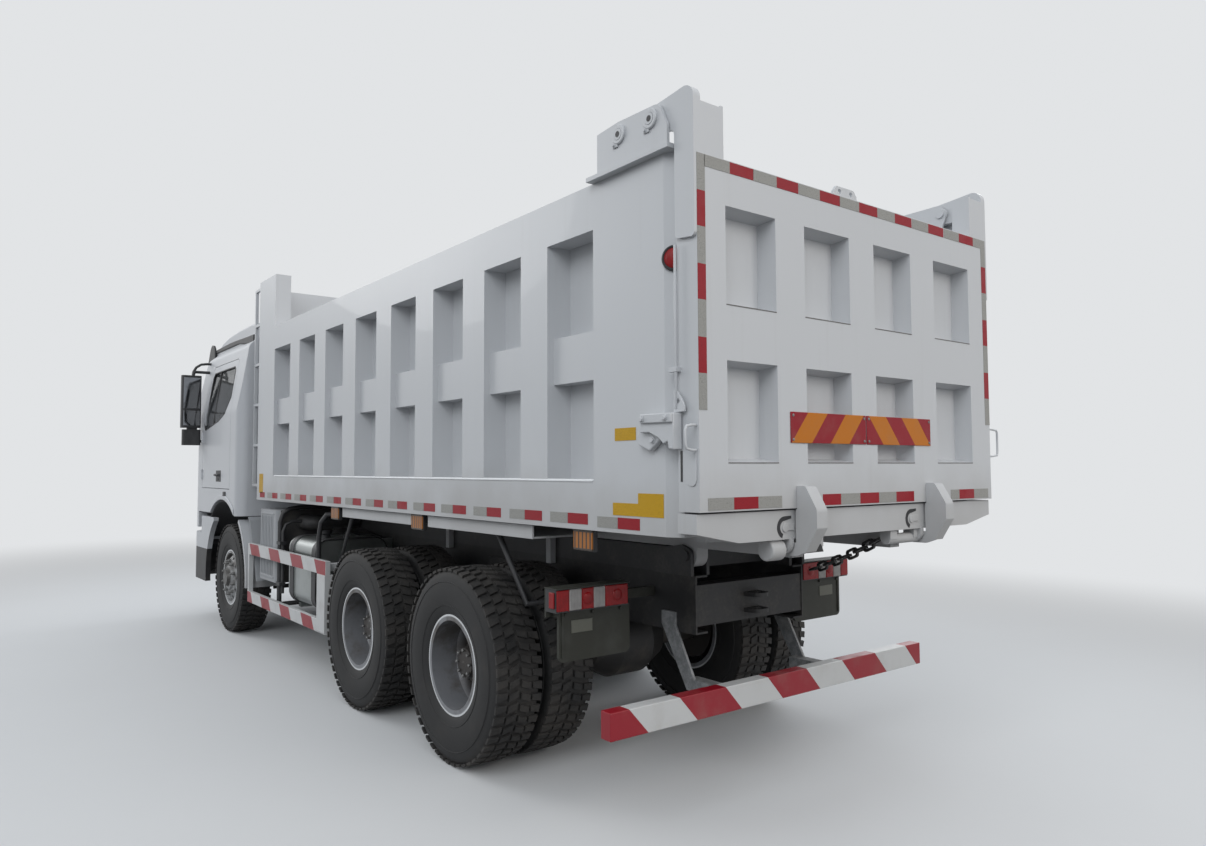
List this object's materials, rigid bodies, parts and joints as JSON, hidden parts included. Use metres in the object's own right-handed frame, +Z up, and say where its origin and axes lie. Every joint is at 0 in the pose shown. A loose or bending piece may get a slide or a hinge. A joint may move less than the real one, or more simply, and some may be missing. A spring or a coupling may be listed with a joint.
{
  "type": "dump truck",
  "caption": "Cab-over tipper truck on three axles with a ribbed steel body, top-hung tailgate, front-lift hoist, tilting cab, opening doors and steered front wheels.",
  "frame": {"origin": "on the ground under the middle of the truck, on the centre line", "axes": "+X forward, +Y to the left, +Z up"},
  "size_m": [8.435, 2.93, 3.48],
  "materials": {
    "body_white": "gloss white paint, lightly dusty",
    "cab_white": "gloss white cab paint",
    "frame_black": "matt black chassis paint",
    "subframe_grey": "dark grey paint",
    "axle_iron": "painted cast iron, dusty",
    "spring_steel": "painted spring steel",
    "tyre_rubber": "matt black rubber, dusty",
    "wheel_silver": "silver wheel paint",
    "tank_alloy": "brushed alloy with black straps",
    "intake_grey": "grey moulded plastic",
    "box_black": "black moulded plastic",
    "silencer_steel": "dull heat-stained steel",
    "guard_stripes": "white paint with red diagonal stripes",
    "lamp_red": "red lens with clear panels",
    "lamp_clear": "clear lamp lens",
    "flap_olive": "dark olive flap",
    "chain_steel": "dark oily chain",
    "hoist_chrome": "hard chrome stages",
    "hoist_barrel": "black paint",
    "cab_window": "tinted glass",
    "trim_black": "black plastic trim",
    "cabin_trim": "grey cabin trim"
  },
  "bodies": {
    "chassis": {"chassis_frame": "frame_black", "tipper_subframe": "subframe_grey", "engine_gearbox": "axle_iron", "propeller_shafts": "axle_iron", "front_axle": "axle_iron", "front_springs": "spring_steel", "drive_axles": "axle_iron", "tandem_suspension": "spring_steel", "fuel_tank": "tank_alloy", "air_filter_box": "intake_grey", "battery_box": "box_black", "air_tanks": "frame_black", "exhaust_silencer": "silencer_steel", "front_bumper": "cab_white", "headlamps": "lamp_clear", "front_mudguards": "intake_grey", "rear_mudguards": "body_white", "side_guards": "guard_stripes", "underrun_guard": "guard_stripes", "tail_lamps": "lamp_red", "tail_flaps": "flap_olive"},
    "bed": {"bed_floor": "body_white", "side_wall_left": "body_white", "side_wall_right": "body_white", "front_wall": "body_white", "bed_ladder": "body_white", "release_chain": "chain_steel"},
    "tailgate": {"tailgate_panel": "body_white", "tailgate_hooks": "body_white"},
    "hoist_tube": {"hoist_barrel": "hoist_barrel"},
    "hoist_rod_1": {"hoist_stage_1": "hoist_chrome"},
    "hoist_rod_2": {"hoist_stage_2": "hoist_chrome"},
    "hoist_rod_3": {"hoist_stage_3": "hoist_chrome"},
    "cab": {"cab_shell": "cab_white", "cab_glass": "cab_window", "cab_grille": "trim_black", "sun_visor": "trim_black", "mirrors": "trim_black", "cab_interior": "cabin_trim"},
    "door_left": {"door_left": "cab_white", "door_glass_left": "cab_window"},
    "door_right": {"door_right": "cab_white", "door_glass_right": "cab_window"},
    "steer_knuckle_left": {"knuckle_left": "axle_iron"},
    "steer_knuckle_right": {"knuckle_right": "axle_iron"},
    "steering_rod": {"tie_rod": "axle_iron"},
    "wheel_front_left": {"tyres_front_left": "tyre_rubber", "rims_front_left": "wheel_silver"},
    "wheel_front_right": {"tyres_front_right": "tyre_rubber", "rims_front_right": "wheel_silver"},
    "wheel_middle_left": {"tyres_middle_left": "tyre_rubber", "rims_middle_left": "wheel_silver"},
    "wheel_middle_right": {"tyres_middle_right": "tyre_rubber", "rims_middle_right": "wheel_silver"},
    "wheel_rear_left": {"tyres_rear_left": "tyre_rubber", "rims_rear_left": "wheel_silver"},
    "wheel_rear_right": {"tyres_rear_right": "tyre_rubber", "rims_rear_right": "wheel_silver"}
  },
  "joints": [
    {"name": "bed_tip", "type": "hinge", "parent": "chassis", "child": "bed", "pos_m": [-3.2975, 0, 1.205], "axis": [0, -1, 0], "range_deg": [0, 48]},
    {"name": "tailgate_swing", "type": "hinge", "parent": "bed", "child": "tailgate", "pos_m": [-3.8725, 0, 3.142], "axis": [0, 1, 0], "range_deg": [0, 58]},
    {"name": "hoist_lean", "type": "hinge", "parent": "chassis", "child": "hoist_tube", "pos_m": [2.1075, 0, 1.05], "axis": [0, -1, 0], "range_deg": [0, 31]},
    {"name": "hoist_extend_1", "type": "slide", "parent": "hoist_tube", "child": "hoist_rod_1", "axis": [0, 0, 1], "range_m": [0, 1.436]},
    {"name": "hoist_extend_2", "type": "slide", "parent": "hoist_rod_1", "child": "hoist_rod_2", "axis": [0, 0, 1], "range_m": [0, 1.436]},
    {"name": "hoist_extend_3", "type": "slide", "parent": "hoist_rod_2", "child": "hoist_rod_3", "axis": [0, 0, 1], "range_m": [0, 1.436]},
    {"name": "cab_tilt", "type": "hinge", "parent": "chassis", "child": "cab", "pos_m": [4.0375, 0, 1.065], "axis": [0, 1, 0], "range_deg": [0, 50]},
    {"name": "door_left_swing", "type": "hinge", "parent": "cab", "child": "door_left", "pos_m": [3.6925, 1.249, 1.46], "axis": [0, 0, -1], "range_deg": [0, 65]},
    {"name": "door_right_swing", "type": "hinge", "parent": "cab", "child": "door_right", "pos_m": [3.6925, -1.249, 1.46], "axis": [0, 0, 1], "range_deg": [0, 65]},
    {"name": "steer_left", "type": "hinge", "parent": "chassis", "child": "steer_knuckle_left", "pos_m": [2.8075, 0.83, 0.55], "axis": [0, 0, 1], "range_deg": [-35, 35]},
    {"name": "steer_right", "type": "hinge", "parent": "chassis", "child": "steer_knuckle_right", "pos_m": [2.8075, -0.83, 0.55], "axis": [0, 0, 1], "range_deg": [-35, 35]},
    {"name": "tie_rod_shift", "type": "slide", "parent": "chassis", "child": "steering_rod", "axis": [0, 1, 0], "range_m": [-0.13, 0.13]},
    {"name": "wheel_front_left_spin", "type": "hinge", "parent": "steer_knuckle_left", "child": "wheel_front_left", "pos_m": [2.8075, 1.03, 0.55], "axis": [0, 1, 0], "continuous": true},
    {"name": "wheel_front_right_spin", "type": "hinge", "parent": "steer_knuckle_right", "child": "wheel_front_right", "pos_m": [2.8075, -1.03, 0.55], "axis": [0, 1, 0], "continuous": true},
    {"name": "wheel_middle_left_spin", "type": "hinge", "parent": "chassis", "child": "wheel_middle_left", "pos_m": [-0.7675, 0, 0.55], "axis": [0, 1, 0], "continuous": true},
    {"name": "wheel_middle_right_spin", "type": "hinge", "parent": "chassis", "child": "wheel_middle_right", "pos_m": [-0.7675, 0, 0.55], "axis": [0, 1, 0], "continuous": true},
    {"name": "wheel_rear_left_spin", "type": "hinge", "parent": "chassis", "child": "wheel_rear_left", "pos_m": [-2.1675, 0, 0.55], "axis": [0, 1, 0], "continuous": true},
    {"name": "wheel_rear_right_spin", "type": "hinge", "parent": "chassis", "child": "wheel_rear_right", "pos_m": [-2.1675, 0, 0.55], "axis": [0, 1, 0], "continuous": true}
  ],
  "couplings": [
    {"joint": "hoist_lean", "follows": "bed_tip", "ratio": 0.61308},
    {"joint": "hoist_extend_1", "follows": "bed_tip", "m_per_rad": 1.7016},
    {"joint": "hoist_extend_2", "follows": "bed_tip", "m_per_rad": 1.7016},
    {"joint": "hoist_extend_3", "follows": "bed_tip", "m_per_rad": 1.7016},
    {"joint": "steer_right", "follows": "steer_left", "ratio": 1},
    {"joint": "tie_rod_shift", "follows": "steer_left", "m_per_rad": -0.19718}
  ]
}
